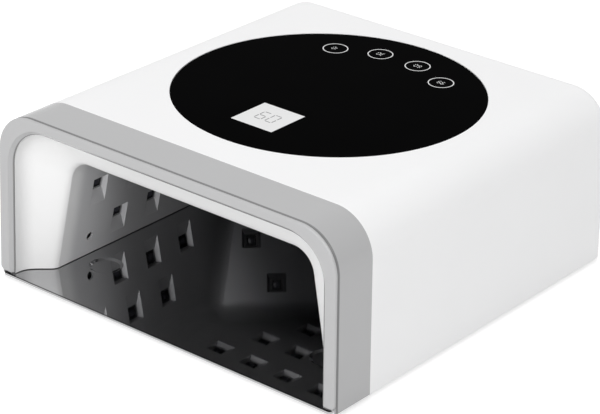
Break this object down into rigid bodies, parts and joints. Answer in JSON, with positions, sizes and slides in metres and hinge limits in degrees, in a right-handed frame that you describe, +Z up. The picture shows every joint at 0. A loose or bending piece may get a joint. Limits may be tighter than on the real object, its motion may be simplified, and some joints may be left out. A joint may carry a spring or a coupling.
{
  "type": "nail curing lamp",
  "caption": "Tunnel-shaped desktop curing lamp: white housing, grey front frame, metallised diode-lined hand cavity, round black glass control top and a loose polished base plate.",
  "frame": {"origin": "on the table under the middle of the lamp, at the underside of the feet", "axes": "+X to the right seen from the open front, +Y from the opening to the closed back, +Z up"},
  "size_m": [0.225, 0.2308, 0.0963],
  "materials": {
    "housing_white": "satin white moulded ABS",
    "bezel_grey": "light grey moulded ABS, satin",
    "reflector": "white mouth fading into vacuum-metallised chamber",
    "plate_steel": "polished stainless steel",
    "foot_rubber": "black rubber",
    "black_glass": "black back-printed glass with thin white marks",
    "adhesive": "black acrylic foam tape",
    "frame_white": "white moulded ABS",
    "magnet": "nickel plated",
    "steel": "zinc plated steel",
    "board_green": "green circuit board",
    "board_white": "white circuit board",
    "display_black": "black display block",
    "foam": "conductive foam",
    "black_plastic": "black moulded plastic",
    "pin_brass": "plated brass",
    "lead_red": "red insulated wire",
    "connector_white": "natural nylon",
    "ir_clear": "clear epoxy",
    "ir_dark": "dark epoxy",
    "diode": "dark diode package with a clear lens"
  },
  "bodies": {
    "base": {"base_plate": "plate_steel", "plate_feet": "foot_rubber"},
    "lamp": {"base_magnets": "magnet", "bezel_band": "bezel_grey", "bezel_ring": "bezel_grey", "bottom_frame": "frame_white", "bottom_screws": "steel", "buzzer": "black_plastic", "ceiling_led_board": "board_white", "ceiling_leds": "diode", "control_board": "board_green", "control_board_screws": "steel", "dc_jack": "black_plastic", "display_module": "display_black", "glass_adhesive": "adhesive", "housing_shell": "housing_white", "inlet_leads": "lead_red", "ir_emitter": "ir_clear", "ir_receiver": "ir_dark", "jack_pin": "pin_brass", "jack_tabs": "pin_brass", "lead_connectors": "connector_white", "led_board_screws": "steel", "led_driver": "black_plastic", "led_leads": "lead_red", "left_corner_led_board": "board_white", "left_corner_leds": "diode", "left_led_board": "board_white", "left_leds": "diode", "power_coil": "black_plastic", "reflector_liner": "reflector", "right_corner_led_board": "board_white", "right_corner_leds": "diode", "right_led_board": "board_white", "right_leds": "diode", "timer_chip": "black_plastic", "top_glass": "black_glass", "touch_pads": "foam"}
  },
  "joints": [
    {"name": "lift_off", "type": "slide", "parent": "base", "child": "lamp", "axis": [0, 0, 1], "range_m": [0, 0.06]}
  ]
}
